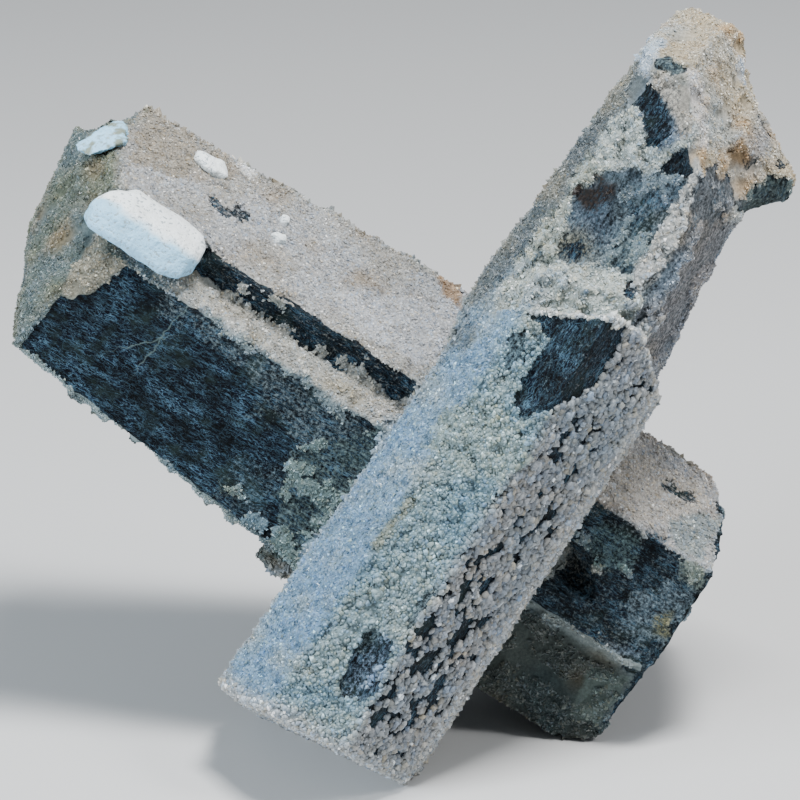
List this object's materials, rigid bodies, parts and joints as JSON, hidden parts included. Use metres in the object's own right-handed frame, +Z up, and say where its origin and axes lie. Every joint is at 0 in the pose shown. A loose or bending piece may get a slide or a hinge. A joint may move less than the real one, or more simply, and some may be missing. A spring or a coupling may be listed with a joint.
{
  "type": "mineral specimen",
  "caption": "Crossed hornblende prisms with a crust of small grains and white hydroxylapatite crystals, resting on their lower ends.",
  "frame": {"origin": "under the middle of the whole, on the surface that the specimen rests on", "axes": "+X to the right seen from the front, +Y to the back, +Z up"},
  "size_m": [0.07, 0.0452, 0.0651],
  "materials": {
    "hornblende": "grey-green crystalline crust over near-black bare faces",
    "apatite": "white, matt and slightly translucent"
  },
  "bodies": {
    "root": {"hornblende_crystals": "hornblende", "apatite_crystal": "apatite", "apatite_end_crystal": "apatite", "apatite_fleck_large": "apatite", "apatite_fleck_upper": "apatite", "apatite_fleck_lower": "apatite"}
  },
  "joints": []
}
